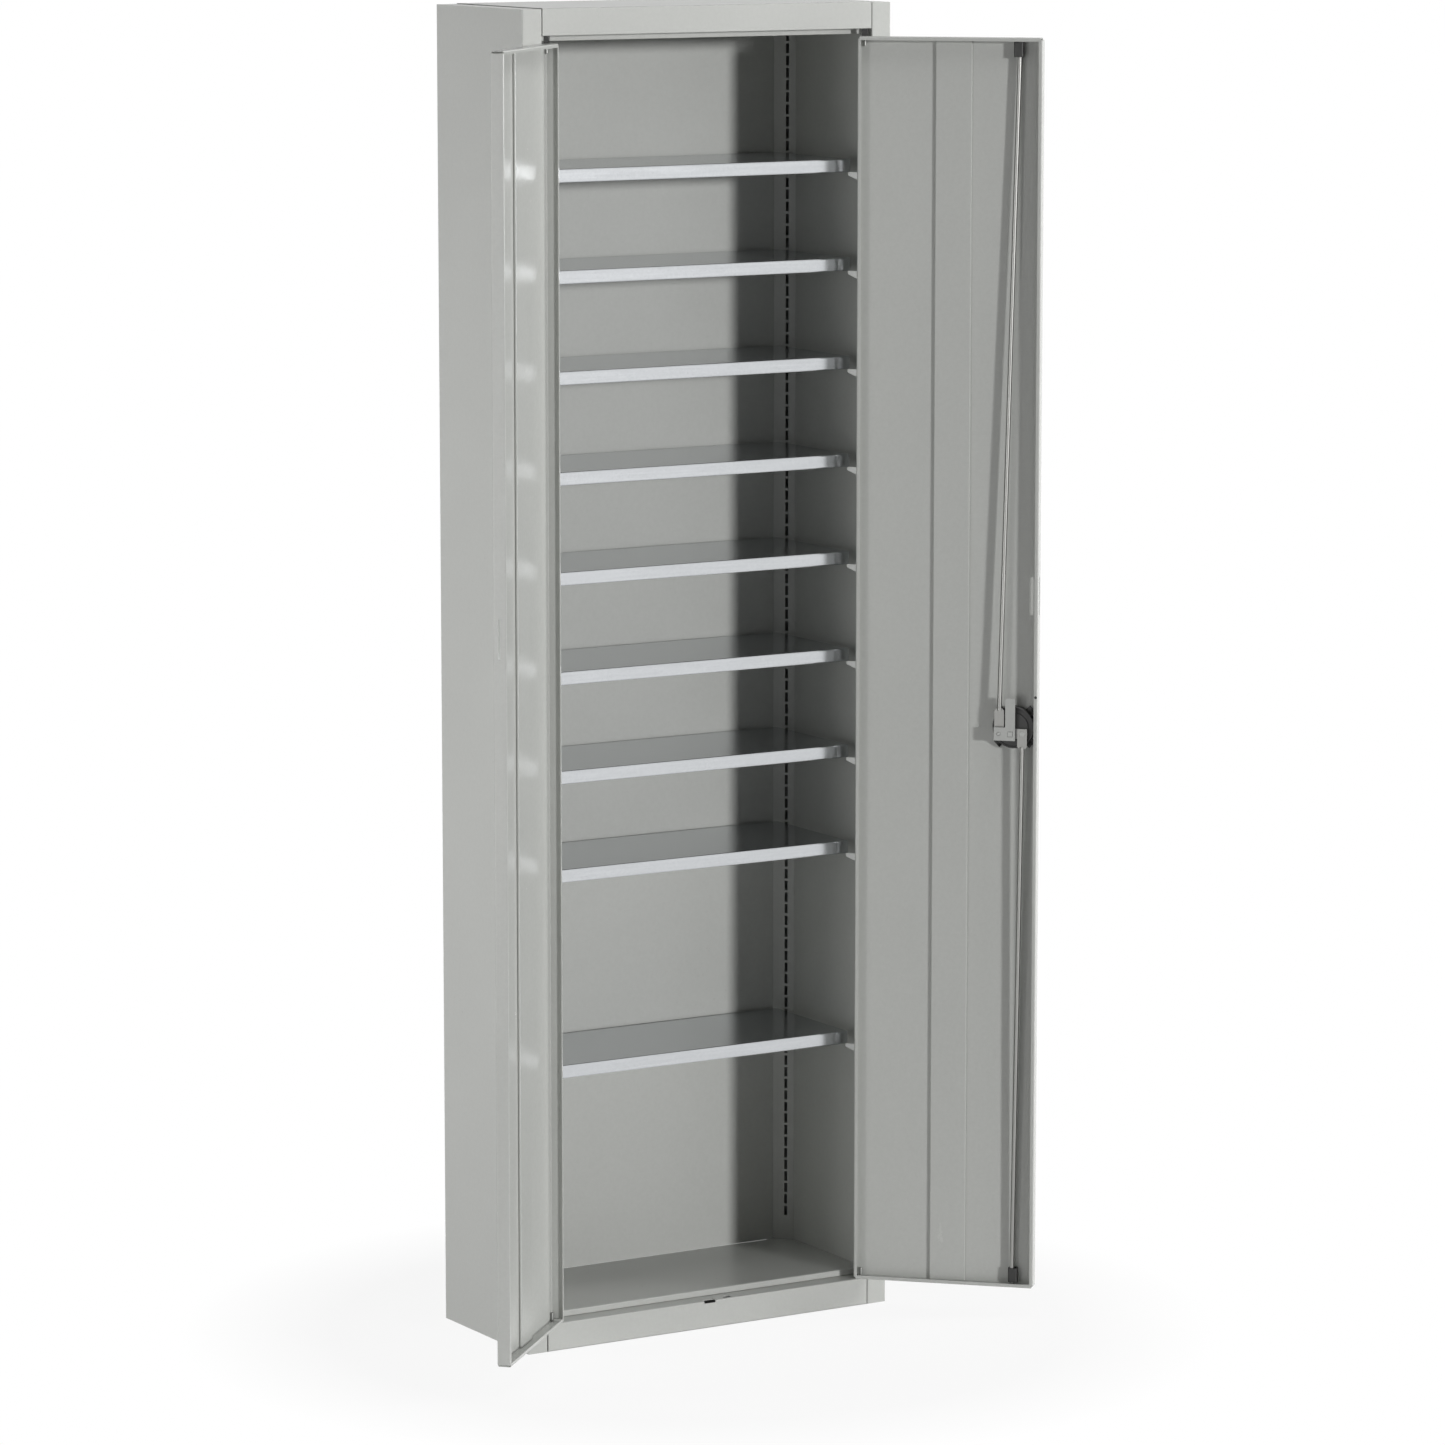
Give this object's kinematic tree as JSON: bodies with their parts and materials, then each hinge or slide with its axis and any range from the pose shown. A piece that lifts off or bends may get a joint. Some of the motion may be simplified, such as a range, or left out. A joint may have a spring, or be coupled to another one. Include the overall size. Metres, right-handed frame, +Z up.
{
  "type": "storage cupboard",
  "caption": "Tall shallow sheet-metal storage cupboard with two hinged doors standing open, adjustable folded shelves and a turning-handle lock with two rods.",
  "frame": {"origin": "on the floor, under the middle of the box round the cupboard with both doors open", "axes": "+X to the right as seen from the front, +Y from front to back, +Z up"},
  "size_m": [1.0114, 0.4924, 2.15],
  "materials": {
    "painted_steel": "fine-textured light grey powder coat",
    "zinc_plated_steel": "dull zinc plate",
    "galvanised_steel": "bare galvanised sheet",
    "bright_steel": "bright drawn bar",
    "blackened_steel": "black oxide",
    "black_plastic": "fine matt moulding",
    "chrome": "satin chrome"
  },
  "bodies": {
    "carcass": {"left_side_panel": "painted_steel", "right_side_panel": "painted_steel", "left_inner_wall": "painted_steel", "right_inner_wall": "painted_steel", "rear_left_slot_strip": "painted_steel", "rear_right_slot_strip": "painted_steel", "front_left_slot_strip": "painted_steel", "front_right_slot_strip": "painted_steel", "upper_left_hinge_pin": "zinc_plated_steel", "upper_right_hinge_pin": "zinc_plated_steel", "lower_left_hinge_pin": "zinc_plated_steel", "lower_right_hinge_pin": "zinc_plated_steel", "back_panel": "painted_steel", "top_panel": "painted_steel", "header_rail": "painted_steel", "plinth": "painted_steel", "floor_panel": "painted_steel", "shelf_1": "galvanised_steel", "shelf_2": "galvanised_steel", "shelf_3": "galvanised_steel", "shelf_4": "galvanised_steel", "shelf_5": "galvanised_steel", "shelf_6": "galvanised_steel", "shelf_7": "galvanised_steel", "shelf_8": "galvanised_steel", "shelf_9": "galvanised_steel"},
    "left_door": {"left_door_panel": "painted_steel", "left_door_stiffener": "painted_steel", "left_upper_hinge_bush": "black_plastic", "left_lower_hinge_washer": "black_plastic"},
    "right_door": {"right_door_panel": "painted_steel", "right_door_stiffener": "painted_steel", "right_upper_hinge_bush": "black_plastic", "right_lower_hinge_washer": "black_plastic", "lock_housing": "black_plastic", "lock_screw_1": "blackened_steel", "lock_screw_2": "blackened_steel", "lock_screw_3": "blackened_steel", "lock_screw_4": "blackened_steel", "upper_rod_guide": "black_plastic", "lower_rod_guide": "black_plastic", "handle_rose": "black_plastic"},
    "lock_rotor": {"rotor_arm": "zinc_plated_steel", "cam_plate": "zinc_plated_steel", "upper_rod_pin": "zinc_plated_steel", "lower_rod_pin": "zinc_plated_steel", "lock_spindle": "zinc_plated_steel", "turn_handle": "black_plastic"},
    "upper_rod": {"upper_rod": "bright_steel"},
    "lower_rod": {"lower_rod": "bright_steel"},
    "key_cylinder": {"key_cylinder": "chrome"}
  },
  "joints": [
    {"name": "left_door_hinge", "type": "hinge", "parent": "carcass", "child": "left_door", "pos_m": [-0.294, -0.02942, 0.047], "axis": [0, 0, 1], "range_deg": [0, 135.7]},
    {"name": "right_door_hinge", "type": "hinge", "parent": "carcass", "child": "right_door", "pos_m": [0.294, -0.02942, 0.047], "axis": [0, 0, -1], "range_deg": [0, 135.7]},
    {"name": "lock_turn", "type": "hinge", "parent": "right_door", "child": "lock_rotor", "pos_m": [0.46173, -0.21406, 0.97], "axis": [0.6984, 0.7157, 0], "range_deg": [0, 90]},
    {"name": "upper_rod_swing", "type": "hinge", "parent": "lock_rotor", "child": "upper_rod", "pos_m": [0.44813, -0.20079, 0.97], "axis": [0.6984, 0.7157, 0], "range_deg": [-91, 0]},
    {"name": "lower_rod_swing", "type": "hinge", "parent": "lock_rotor", "child": "lower_rod", "pos_m": [0.47533, -0.22733, 0.97], "axis": [0.6984, 0.7157, 0], "range_deg": [-91.3, 0]},
    {"name": "key_turn", "type": "hinge", "parent": "lock_rotor", "child": "key_cylinder", "pos_m": [0.48897, -0.18615, 0.97], "axis": [0.6984, 0.7157, 0], "range_deg": [0, 90]}
  ],
  "couplings": [
    {"joint": "upper_rod_swing", "follows": "lock_turn", "ratio": -1.0109},
    {"joint": "lower_rod_swing", "follows": "lock_turn", "ratio": -1.0135}
  ]
}
